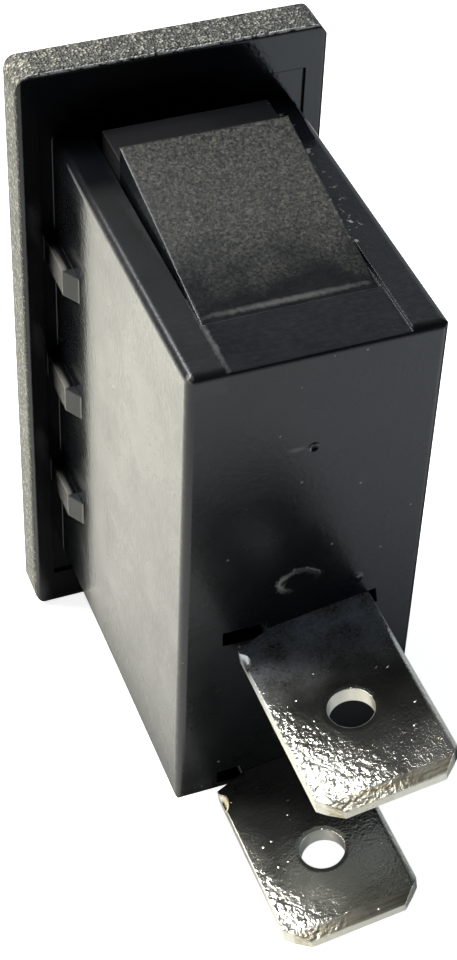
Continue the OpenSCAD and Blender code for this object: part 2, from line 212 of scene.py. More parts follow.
class SwitchMarks(bpy.types.PropertyGroup):
    """Printed marks on the rocker."""

    ink: FloatVectorProperty(
        name="Ink", description="Colour of the printed marks", subtype="COLOR", default=linear("#e4e3dd"))
    height: FloatProperty(name="Height", description="Height of a mark", unit="LENGTH", default=2.6 * MM)
    stroke: FloatProperty(name="Stroke", description="Width of a mark's line", unit="LENGTH", default=0.45 * MM)
    film: FloatProperty(name="Film", description="Thickness of the ink", unit="LENGTH", default=0.02 * MM)
    valley: FloatProperty(
        name="Valley", description="Distance of the rocker's valley from its pivot", unit="LENGTH", default=3.3 * MM)
    along: FloatProperty(
        name="Along", description="Distance of a mark from the valley", unit="LENGTH", default=6.2 * MM)


class SwitchInside(bpy.types.PropertyGroup):
    """Finish of the parts inside the housing."""

    acetal: FloatVectorProperty(
        name="Acetal", description="Colour of the plunger", subtype="COLOR", default=linear("#e6e1d2"))
    steel: FloatVectorProperty(
        name="Spring steel", description="Colour of the spring", subtype="COLOR", default=linear("#a9abad"))
    brass: FloatVectorProperty(
        name="Brass", description="Colour of the contact lever", subtype="COLOR", default=linear("#cfae6a"))
    silver: FloatVectorProperty(
        name="Silver", description="Colour of the contacts", subtype="COLOR", default=linear("#dcdbd6"))
    tarnish: FloatVectorProperty(
        name="Tarnish", description="Colour of tarnished metal", subtype="COLOR", default=linear("#6e5a3c"))
    spring_play: FloatProperty(
        name="Spring play", description="Gap between the pressed spring and the plunger", unit="LENGTH",
        default=0.01 * MM)


class SwitchBlades(bpy.types.PropertyGroup):
    """Finish of the plated blades."""

    plating: FloatVectorProperty(
        name="Plating", description="Colour of the bright plating", subtype="COLOR", default=linear("#dad8cc"))
    sheared: FloatVectorProperty(
        name="Sheared metal", description="Colour of the coined tips", subtype="COLOR", default=linear("#b0a384"))
    bright: FloatVectorProperty(
        name="Cut edge", description="Colour of the freshly cut edges", subtype="COLOR", default=linear("#f2eee2"))
    # Pale oil film, which also paints light: it lifts the shade on the upper blade's root.
    oil_and_painted_lift: FloatVectorProperty(
        name="Oil", description="Colour of dried press oil and dust", subtype="COLOR", default=linear("#c8d4e6"))
    peel: FloatProperty(
        name="Peel", description="Grain of the plating's orange peel", unit="LENGTH", default=0.25 * MM)
    edge: FloatProperty(
        name="Edge radius", description="Softness of the cut edges", unit="LENGTH", default=0.06 * MM)
    droop: FloatProperty(name="Droop", description="Slope of the bent tip corner", default=0.24)
    roll: FloatProperty(name="Die roll", description="Slope of the rolled edges", default=0.35)


class SwitchStage(bpy.types.PropertyGroup):
    """Camera, floor and lights."""

    floor: FloatVectorProperty(
        name="Floor", description="Colour of the floor", subtype="COLOR", default=linear("#f2f2f0"))
    camera_at: FloatVectorProperty(
        name="Camera", description="Place of the camera", unit="LENGTH",
        default=(27.632 * MM, 74.319 * MM, 66.541 * MM))
    camera_aim: FloatVectorProperty(
        name="Aim", description="Direction of the camera", subtype="DIRECTION",
        default=(-0.27820533, -0.66798173, -0.69021895))
    camera_roll: FloatProperty(
        name="Roll", description="Roll of the camera", subtype="ANGLE", default=math.radians(2.574))
    lens: FloatProperty(name="Lens", description="Focal length in millimetres", default=81.56)


class SWITCH_OT_housing(bpy.types.Operator):
    """Gives the housing its moulded finish"""

    bl_idname = "switch.housing"
    bl_label = "Housing"

    def execute(self, context):
        look = context.scene.switch_moulding
        # Moulded nylon: a satin blue-black skin, grey where the mould was spark-eroded, with a painted sheen and
        # painted glints on the rim, dull and grained on the tongue pads with painted shade towards their roots, and
        # pale along edges, which is partly wear and partly a painted highlight.
        material, tree, place = new_material("Moulded black nylon")
        at = add(tree, "ShaderNodeSeparateXYZ", {0: place})
        x, y, z = at.outputs
        wide = add(tree, "ShaderNodeMath", {0: x}, operation="ABSOLUTE")
        tall = add(tree, "ShaderNodeMath", {0: z}, operation="ABSOLUTE")

        # Patterns, in cells per millimetre: spark-eroded craters, whose cells also place painted glints, pad grain,
        # leathery skin, slow clouds, dust, pale flecks and flow marks.
        spark = add(tree, "ShaderNodeTexVoronoi", {"Vector": place, "Scale": MM / look.spark_grain})
        lot = add(tree, "ShaderNodeSeparateColor", {0: spark.outputs["Color"]})
        grain = add(tree, "ShaderNodeTexNoise", {
            "Vector": place, "Scale": MM / look.pad_grain, "Detail": 4.0, "Roughness": 0.7})
        skin = add(tree, "ShaderNodeTexNoise", {"Vector": place, "Scale": 4.0, "Detail": 3.0, "Distortion": 0.6})
        cloud = add(tree, "ShaderNodeTexNoise", {"Vector": place, "Scale": 0.45, "Detail": 4.0})
        dust = add(tree, "ShaderNodeTexVoronoi", {"Vector": place, "Scale": 0.8})
        fleck = add(tree, "ShaderNodeTexNoise", {"Vector": place, "Scale": 3.2, "Detail": 3.0})
        flow = add(tree, "ShaderNodeMapping", {"Vector": place, "Rotation": (0.5, 0, 0), "Scale": (1, 2.4, 0.8)})
        flow = add(tree, "ShaderNodeTexNoise", {"Vector": flow, "Scale": 2.2, "Detail": 6.0, "Roughness": 0.7})

        # Torn gate on the rear face: distance from its ragged ring, and two directions across it that make the ring
        # a hook and make its painted highlight palest at one end.
        torn = add(tree, "ShaderNodeVectorMath", {0: place, 1: GATE_AT}, operation="SUBTRACT")
        torn = add(tree, "ShaderNodeVectorMath", {0: torn, 1: (1 / GATE_WIDE, 0, 1 / GATE_TALL)},
                   operation="MULTIPLY")
        ring = add(tree, "ShaderNodeVectorMath", {0: torn}, operation="LENGTH")
        ring = add(tree, "ShaderNodeMath", {0: skin, 1: 0.5, 2: ring}, operation="MULTIPLY_ADD")
        ring = add(tree, "ShaderNodeMath", {0: ring, 1: 1.05}, operation="SUBTRACT")
        ring = add(tree, "ShaderNodeMath", {0: ring}, operation="ABSOLUTE")
        hook = add(tree, "ShaderNodeVectorMath", {0: torn, 1: (0.5, 0, 0.85)}, operation="DOT_PRODUCT")
        pale = add(tree, "ShaderNodeVectorMath", {0: torn, 1: (1, 0, -0.3)}, operation="DOT_PRODUCT")

        # Distance from the stub beside the gate and from the slit right of the pads, how far back the pads' grain
        # reaches before it fades into painted shade at the root, and how much an edge is rounded.
        stub = add(tree, "ShaderNodeVectorMath", {0: place, 1: STUB_AT}, operation="DISTANCE")
        slit = add(tree, "ShaderNodeMath", {0: x, 1: SLIT_X}, operation="SUBTRACT")
        slit = add(tree, "ShaderNodeMath", {0: slit}, operation="ABSOLUTE")
        reach = add(tree, "ShaderNodeMath", {0: cloud, 1: 6.0, 2: y}, operation="MULTIPLY_ADD")
        soft = add(tree, "ShaderNodeBevel", {"Radius": look.edge}, samples=EDGE_SAMPLES)
        flat = add(tree, "ShaderNodeNewGeometry")
        turn = add(tree, "ShaderNodeVectorMath", {0: soft, 1: flat.outputs["Normal"]}, operation="DOT_PRODUCT")

        # Fades: a place in millimetres or a pattern, where its fade starts and stops, and its least and most.
        fade = {}
        for name, value, start, stop, least, most in (
                # Areas of the moulding.
                ("bezel", y, -0.17, -0.3, 0, 1),
                ("brink", y, -0.04, -0.1, 0, 1),
                ("outer side", wide, BEZEL_X - 0.3, BEZEL_X - 0.2, 0, 1),
                ("outer end", tall, BEZEL_Z - 0.3, BEZEL_Z - 0.2, 0, 1),
                ("off the front", y, FRONT_Y + 0.05, FRONT_Y + 0.3, 0.2, 1),
                ("behind", y, 0.6, 2.0, 0, 1),
                ("rear", y, REAR_Y - 0.2, REAR_Y - 0.05, 0, 1),
                ("pad side", wide, PAD_HALF, PAD_HALF - 0.08, 0, 1),
                ("pad top", tall, END_Z - 0.37, END_Z - 0.29, 0, 1),
                ("pad root", y, PAD_TO_Y, PAD_TO_Y - 0.6, 0, 1),
                ("pad tip", y, PAD_FROM_Y, PAD_FROM_Y + 0.1, 0, 1),
                # Torn gate, pale flecks, flash and edges; the gate's rim and the flash carry painted highlights, and
                # the edges are pale partly from wear and partly as a painted highlight.
                ("hook", hook, -0.6, 0.3, 0, 1),
                ("pale", pale, -0.2, 1.0, 0.2, 1),
                ("fleck", fleck, 0.62, 0.68, 0, 1),
                ("slit", slit, 0.6, 0.1, 0, 1),
                ("upper", z, END_Z - 0.3, END_Z - 0.2, 0, 1),
                ("short of root", y, 12.0, 10.5, 0, 1),
                ("lip", skin, 0.36, 0.52, 0, 1),
                ("lip rear", y, -0.14, -0.11, 0, 1),
                ("lip end", tall, BEZEL_Z - 0.15, BEZEL_Z - 0.09, 0, 1),
                # Pale along rounded edges: partly wear, partly a painted highlight.
                ("wear_and_painted_highlight", turn, 0.97, 0.8, 0, 0.3),
                ("patchy", cloud, 0.4, 0.6, 0.3, 1),
                # Painted shade: edges and dust are paler towards +x, the lit side, and dimmer towards -x, which lies
                # in shade.
                ("painted_lit_side", x, -4.0, 1.0, 0.2, 1),
                # Flow marks, dust that also paints light, and ribs rubbed pale, which is partly a painted highlight.
                ("flow", flow, 0.45, 0.7, 0, 0.3),
                ("flank", x, SIDE_X - 0.1, SIDE_X - 0.02, 0, 1),
                ("clear of ribs", y, 3.5, 6.0, 0, 1),
                ("root", y, 11.5, 13.5, 0, 0.15),
                ("ends", tall, END_Z - 0.5, END_Z - 0.3, 0, 1),
                ("lane", wide, PAD_HALF, PAD_HALF + 0.08, 0, 1),
                # Painted shadow: the strips' dust starts only where the bezel's shadow ends.
                ("strip", y, 3.6, 4.8, 0, 0.055),
                ("ledge", y, PAD_FROM_Y + 0.1, PAD_FROM_Y, 0, 0.07),
                ("high", tall, END_Z - 1.2, END_Z - 1.0, 0, 1),
                ("dust", dust, 0.06, 0.03, 0, 1),
                # Ribs rubbed pale on their outer faces, partly a painted highlight on those lit faces.
                ("rubbed_and_painted_highlight", wide, SIDE_X + 0.2, SIDE_X + 0.4, 0, 1),
                ("ramp", y, RIB_TO_Y - 0.1, RIB_TO_Y, 0, 1),
                ("proud", wide, SIDE_X + 0.02, SIDE_X + 0.06, 0, 1),
                # Grain with painted shade towards the pads' roots, random tone, and gloss.
                # Painted shade: the pads' grain and its paler colour fade out towards the root, so the pads darken
                # there.
                ("dull", reach, 12.0, 15.5, 1, 0.05),
                ("speck", grain, 0.42, 0.58, 0.1, 1),
                ("mottle", grain, 0.41, 0.63, 0.1, 1),
                # Painted glints: random cells of the spark-eroded texture painted pale, and pale specks on the pads.
                ("speck_and_painted_glint", lot, 0.72, 0.95, 0, 0.6),
                ("shade", cloud, 0.3, 0.7, 0.8, 1.25),
                ("rough", cloud, 0, 1, 0.2, 0.36),
                ("near bezel", y, 7.0, 4.0, 0, 1)):
            fade[name] = add(tree, "ShaderNodeMapRange", {
                "Value": value, "From Min": start, "From Max": stop, "To Min": least, "To Max": most})
        for name, value, start, stop in (("rim", ring, 0.24, 0.04), ("stub", stub, 0.4, 0.0)):
            fade[name] = add(tree, "ShaderNodeMapRange", {"Value": value, "From Min": start, "From Max": stop},
                             interpolation_type="SMOOTHSTEP")

        # The texture goes round the bezel's rear edge at its outer faces only, and the panel seat stays plain.
        for outer in ("outer side", "outer end"):
            part = add(tree, "ShaderNodeMath", {0: fade[outer], 1: fade["brink"]}, operation="MULTIPLY")
            fade["bezel"] = add(tree, "ShaderNodeMath", {0: part, 1: fade["bezel"]}, operation="MAXIMUM")
        # Dust settles on the strips beside each pad and on the ledge before it, and it also paints light: it starts
        # only where the bezel's shadow ends.
        fade["dust_and_painted_light"] = add(tree, "ShaderNodeMix", {0: fade["lane"], 2: fade["ledge"], 3: fade["strip"]})

        # A thing shows where all of its fades meet.
        for name, *factors in (
                # Painted sheen: the spark grey and its painted glints are full on the bezel's rim and a fifth on its
                # front face.
                ("texture_and_painted_sheen", "bezel", "off the front"),
                ("pad", "pad side", "pad top", "pad root", "pad tip"),
                ("dull", "dull", "pad"),
                ("grainy", "dull", "mottle"),
                ("rim", "rim", "hook", "rear"),
                ("fleck", "fleck", "slit", "upper", "short of root", "behind"),
                ("lip", "lip", "lip rear", "lip end"),
                ("flank", "flank", "clear of ribs"),
                ("root", "root", "ends"),
                ("dust_and_painted_light", "dust_and_painted_light", "high", "behind"),
                ("rubbed_and_painted_highlight", "rubbed_and_painted_highlight", "behind"),
                ("wear_and_painted_highlight", "wear_and_painted_highlight", "patchy", "painted_lit_side")):
            product = fade[factors[0]]
            for factor in factors[1:]:
                product = add(tree, "ShaderNodeMath", {0: product, 1: fade[factor]}, operation="MULTIPLY")
            fade[name] = product

        # The roots' flow marks stop at the rear face, a panel doesn't rub the ribs' ramps, and the seat gets no pale
        # edge.
        fade["seat"] = add(tree, "ShaderNodeMath", {0: y, 1: -0.07, 2: 0.15}, operation="COMPARE")
        for name, less in (("root", "rear"), ("rubbed_and_painted_highlight", "ramp"), ("wear_and_painted_highlight", "seat")):
            fade[name] = add(tree, "ShaderNodeMath", {0: fade[name], 1: fade[less]}, operation="SUBTRACT",
                             use_clamp=True)
        fade["flank"] = add(tree, "ShaderNodeMath", {0: fade["flank"], 1: fade["root"]}, operation="MAXIMUM")
        fade["ramp"] = add(tree, "ShaderNodeMath", {0: fade["ramp"], 1: fade["proud"]}, operation="MULTIPLY")
        fade["dusty"] = add(tree, "ShaderNodeMath", {0: fade["dull"], 1: 0.2}, operation="MULTIPLY")

        # Scuffs: one smear, and painted highlight lines and a spot from the table above.
        scuff_and_highlight = 0.0
        for spot, spread, strength in SCUFFS_AND_HIGHLIGHTS:
            mark = add(tree, "ShaderNodeVectorMath", {0: place, 1: spot}, operation="SUBTRACT")
            mark = add(tree, "ShaderNodeVectorMath", {0: mark, 1: spread}, operation="DIVIDE")
            mark = add(tree, "ShaderNodeVectorMath", {0: mark}, operation="LENGTH")
            mark = add(tree, "ShaderNodeMath", {0: skin, 1: 0.9, 2: mark}, operation="MULTIPLY_ADD")
            mark = add(tree, "ShaderNodeMapRange", {
                "Value": mark, "From Min": 1.4, "From Max": 0.7, "To Max": strength})
            scuff_and_highlight = add(tree, "ShaderNodeMath", {0: mark, 1: scuff_and_highlight}, operation="MAXIMUM")

        height = add(tree, "ShaderNodeMath", {0: skin, 1: 0.008}, operation="MULTIPLY")
        for relief, area, depth in (
                (spark, fade["bezel"], 0.06), (grain, fade["dull"], 0.03),
                (fade["rim"], 1.0, 0.08), (fade["stub"], fade["rear"], 0.12)):
            relief = add(tree, "ShaderNodeMath", {0: relief, 1: area}, operation="MULTIPLY")
            height = add(tree, "ShaderNodeMath", {0: relief, 1: depth, 2: height}, operation="MULTIPLY_ADD")
        normal = add(tree, "ShaderNodeBump", {"Height": height, "Distance": MM, "Normal": soft})

        colour = add(tree, "ShaderNodeVectorMath", {0: look.nylon, "Scale": fade["shade"]}, operation="SCALE")
        # Paints over the nylon; painted light among them: dust and pale edges dimmer on the shaded right side, ribs
        # and edges partly painted highlights, the spark grey and glints a painted sheen, the pads' colour fading to
        # painted shade at the root, and painted highlights on the tongue's root, ridge, rear corner, gate rim and
        # flash line.
        for amount, area, paint in (
                (fade["dust_and_painted_light"], fade["painted_lit_side"], look.wear_and_painted_highlight),
                (fade["rubbed_and_painted_highlight"], 0.6, look.wear_and_painted_highlight),
                (fade["speck"], fade["texture_and_painted_sheen"], look.spark),
                (fade["speck_and_painted_glint"], fade["texture_and_painted_sheen"], look.speck_and_painted_glint),
                (fade["mottle"], fade["dull"], look.pad),
                (fade["speck_and_painted_glint"], fade["dusty"], look.speck_and_painted_glint),
                (fade["flow"], fade["flank"], look.wear_and_painted_highlight),
                (fade["wear_and_painted_highlight"], 1.0, look.wear_and_painted_highlight),
                (scuff_and_highlight, 1.0, look.wear_and_painted_highlight),
                (fade["rim"], fade["pale"], look.speck_and_painted_glint),
                (fade["fleck"], 0.9, look.speck_and_painted_glint),
                (fade["lip"], 0.9, look.flash_painted_highlight),
                (fade["dust"], fade["rear"], look.wear_and_painted_highlight)):
            amount = add(tree, "ShaderNodeMath", {0: amount, 1: area}, operation="MULTIPLY")
            colour = add(tree, "ShaderNodeMix", {0: amount, 6: colour, 7: rgba(paint)}, data_type="RGBA")

        rough = fade["rough"]
        for amount, extra in ((fade["near bezel"], -0.14), (fade["bezel"], 0.4), (fade["dull"], 0.15),
                              (fade["grainy"], 0.25), (fade["ramp"], 0.4)):
            rough = add(tree, "ShaderNodeMath", {0: amount, 1: extra, 2: rough}, operation="MULTIPLY_ADD")
        shader = add(tree, "ShaderNodeBsdfPrincipled", {
            "Base Color": colour, "Roughness": rough, "IOR": NYLON_IOR, "Normal": normal,
            "Specular Tint": (0.94, 0.97, 1.0, 1.0)})
        add(tree, "ShaderNodeOutputMaterial", {"Surface": shader})
        wear("housing", material)
        return {"FINISHED"}


class SWITCH_OT_rocker(bpy.types.Operator):
    """Gives the rocker its polished finish and its printed marks"""

    bl_idname = "switch.rocker"
    bl_label = "Rocker"

    def execute(self, context):
        look = context.scene.switch_moulding
        # Nylon from a polished mould: a deep black gloss with faint flow and finger haze.
        material, tree, place = new_material("Polished moulded nylon")
        haze = add(tree, "ShaderNodeTexNoise", {"Vector": place, "Scale": 0.35, "Detail": 5.0})
        fine = add(tree, "ShaderNodeTexNoise", {"Vector": place, "Scale": 6.0, "Detail": 2.0})
        shade = add(tree, "ShaderNodeMapRange", {"Value": haze, "From Min": 0.3, "From Max": 0.7,
                                                 "To Min": 0.85, "To Max": 1.3})
        colour = add(tree, "ShaderNodeVectorMath", {0: look.rocker, "Scale": shade}, operation="SCALE")
        rough = add(tree, "ShaderNodeMapRange", {"Value": haze, "From Min": 0.3, "From Max": 0.7,
                                                 "To Min": 0.16, "To Max": 0.3})
        soft = add(tree, "ShaderNodeBevel", {"Radius": 2 * look.edge}, samples=EDGE_SAMPLES)
        normal = add(tree, "ShaderNodeBump", {"Height": fine, "Strength": 0.6, "Distance": 0.004 * MM,
                                              "Normal": soft})
        shader = add(tree, "ShaderNodeBsdfPrincipled", {
            "Base Color": colour, "Roughness": rough, "IOR": NYLON_IOR, "Normal": normal})
        add(tree, "ShaderNodeOutputMaterial", {"Surface": shader})
        wear("rocker", material)

        marks = context.scene.switch_marks
        # Pad-printed ink: a dull white film, a little thin and uneven where the pad lifted.
        ink, tree, place = new_material("Pad-printed white ink")
        thin = add(tree, "ShaderNodeTexNoise", {"Vector": place, "Scale": 7.0, "Detail": 3.0})
        thin = add(tree, "ShaderNodeMapRange", {"Value": thin, "From Min": 0.3, "From Max": 0.7,
                                                "To Min": 0.82, "To Max": 1.0})
        colour = add(tree, "ShaderNodeVectorMath", {0: marks.ink, "Scale": thin}, operation="SCALE")
        shader = add(tree, "ShaderNodeBsdfPrincipled", {"Base Color": colour, "Roughness": 0.5, "IOR": 1.5})
        add(tree, "ShaderNodeOutputMaterial", {"Surface": shader})

        tilt = JOINTS["rocker_tilt"]
        half = math.radians(tilt["range_deg"][1] - tilt["range_deg"][0]) / 2
        at_rest = Matrix.Translation(tilt["pos_m"]) @ Matrix.Rotation(half, 4, "X")
        for name, end, rows in (("mark_on", 1, self.bar(marks)), ("mark_off", -1, self.ring(marks))):
            shape = bmesh.new()
            loops = [[shape.verts.new(point) for point in row] for row in rows]
            if name == "mark_on":
                shape.faces.new(loops[0])
                shape.faces.new(loops[-1])
            else:
                loops.append(loops[0])
            for lower, upper in zip(loops, loops[1:]):
                for i in range(len(lower)):
                    shape.faces.new((lower[i - 1], lower[i], upper[i], upper[i - 1]))
            bmesh.ops.recalc_face_normals(shape, faces=shape.faces)
            mesh = bpy.data.meshes.new(name)
            shape.to_mesh(mesh)
            shape.free()
            mesh.materials.append(ink)
            mark = bpy.data.objects.new(name, mesh)
            run = Vector((0, -math.sin(half), end * math.cos(half)))
            out = Vector((0, -math.cos(half), -end * math.sin(half)))
            facing = Matrix((run.cross(out), run, out)).transposed().to_4x4()
            spot = Vector((0, -marks.valley, 0)) + marks.along * run
            mark.matrix_world = at_rest @ Matrix.Translation(spot) @ facing
            context.scene.collection.objects.link(mark)
            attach(mark, "rocker")
        return {"FINISHED"}

    def bar(self, marks):
        """Outlines of the round-ended bar, from its underside to its top."""
        steps = 12
        reach = (marks.height - marks.stroke) / 2
        turns = [math.pi * i / steps for i in range(steps + 1)]
        rows = []
        for share, lift in ((1.0, -marks.film), (1.0, marks.film / 2), (0.9, marks.film)):
            r = share * marks.stroke / 2
            rows.append([(end * r * math.cos(a), end * (reach + r * math.sin(a)), lift)
                         for end in (1, -1) for a in turns])
        return rows

    def ring(self, marks):
        """Outlines of the ring, from its outer edge over its top to its inner edge."""
        steps = 64
        outer = marks.height / 2
        inner = outer - marks.stroke
        lip = marks.stroke / 20
        turns = [math.tau * i / steps for i in range(steps)]
        return [[(r * math.cos(a), r * math.sin(a), lift) for a in turns]
                for r, lift in ((outer, -marks.film), (outer, marks.film / 2), (outer - lip, marks.film),
                                (inner + lip, marks.film), (inner, marks.film / 2), (inner, -marks.film))]


class SWITCH_OT_plunger(bpy.types.Operator):
    """Gives the plunger and its spring their finish"""

    bl_idname = "switch.plunger"
    bl_label = "Plunger and spring"

    def execute(self, context):
        look = context.scene.switch_inside
        # Moulded natural acetal: milky and waxy, with a soft glow under a smooth skin.
        material, tree, place = new_material("Moulded natural acetal")
        cloud = add(tree, "ShaderNodeTexNoise", {"Vector": place, "Scale": 1.2, "Detail": 3.0})
        shade = add(tree, "ShaderNodeMapRange", {"Value": cloud, "To Min": 0.9, "To Max": 1.05})
        colour = add(tree, "ShaderNodeVectorMath", {0: look.acetal, "Scale": shade}, operation="SCALE")
        rough = add(tree, "ShaderNodeMapRange", {"Value": cloud, "To Min": 0.3, "To Max": 0.45})
        shader = add(tree, "ShaderNodeBsdfPrincipled", {
            "Base Color": colour, "Roughness": rough, "IOR": 1.48,
            "Subsurface Weight": 0.3, "Subsurface Radius": (1.0, 0.9, 0.7), "Subsurface Scale": 0.4 * MM})
        add(tree, "ShaderNodeOutputMaterial", {"Surface": shader})
        wear("plunger", material)

        # Drawn spring steel: grey wire with fine lines drawn round the coil.
        material, tree, place = new_material("Drawn spring steel")
        line = add(tree, "ShaderNodeMapping", {"Vector": place, "Scale": (3.0, 25.0, 3.0)})
        line = add(tree, "ShaderNodeTexNoise", {"Vector": line, "Scale": 1.0, "Detail": 2.0})
        shade = add(tree, "ShaderNodeMapRange", {"Value": line, "To Min": 0.8, "To Max": 1.1})
        colour = add(tree, "ShaderNodeVectorMath", {0: look.steel, "Scale": shade}, operation="SCALE")
        rough = add(tree, "ShaderNodeMapRange", {"Value": line, "To Min": 0.22, "To Max": 0.4})
        shader = add(tree, "ShaderNodeBsdfPrincipled", {"Base Color": colour, "Metallic": 1.0, "Roughness": rough})
        add(tree, "ShaderNodeOutputMaterial", {"Surface": shader})
        wear("plunger_spring", material)

        # A copy of the coil with its own mesh stands for the CAD one and is attached to the rocker; the real coil
        # shortens as the plunger slides in, but nothing here shortens the copy.
        mesh = frame["nodes"]["plunger_spring"].data.copy()
        coil = bpy.data.objects.new("spring_coil", mesh)
        context.scene.collection.objects.link(coil)
        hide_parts("plunger_spring")
        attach(coil, "rocker")
        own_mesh(coil)
        return {"FINISHED"}


class SWITCH_OT_contacts(bpy.types.Operator):
    """Gives the lever and its contacts their finish"""

    bl_idname = "switch.contacts"
    bl_label = "Contacts"

    def execute(self, context):
        look = context.scene.switch_inside
        # Rolled brass strip with long rolling lines, and turned silver rivets that dull in spots.
        for name, paint, stretch, smooth, nodes in (
                ("Rolled brass", look.brass, (12.0, 12.0, 0.5), 0.2, ("contact_lever",)),
                ("Turned silver", look.silver, (4.0, 4.0, 4.0), 0.25, ("moving_contact", "fixed_contact"))):
            material, tree, place = new_material(name)
            line = add(tree, "ShaderNodeMapping", {"Vector": place, "Scale": stretch})
            line = add(tree, "ShaderNodeTexNoise", {"Vector": line, "Scale": 1.0, "Detail": 3.0})
            spot = add(tree, "ShaderNodeTexNoise", {"Vector": place, "Scale": 0.8, "Detail": 4.0})
            spot = add(tree, "ShaderNodeMapRange", {
                "Value": spot, "From Min": 0.55, "From Max": 0.75, "To Max": 0.45})
            colour = add(tree, "ShaderNodeMix", {0: spot, 6: rgba(paint), 7: rgba(look.tarnish)}, data_type="RGBA")
            rough = add(tree, "ShaderNodeMapRange", {"Value": line, "To Min": smooth, "To Max": smooth + 0.2})
            normal = add(tree, "ShaderNodeBump", {"Height": line, "Strength": 0.5, "Distance": 0.01 * MM})
            shader = add(tree, "ShaderNodeBsdfPrincipled", {
                "Base Color": colour, "Metallic": 1.0, "Roughness": rough, "Normal": normal})
            add(tree, "ShaderNodeOutputMaterial", {"Surface": shader})
            for node in nodes:
                wear(node, material)
        return {"FINISHED"}


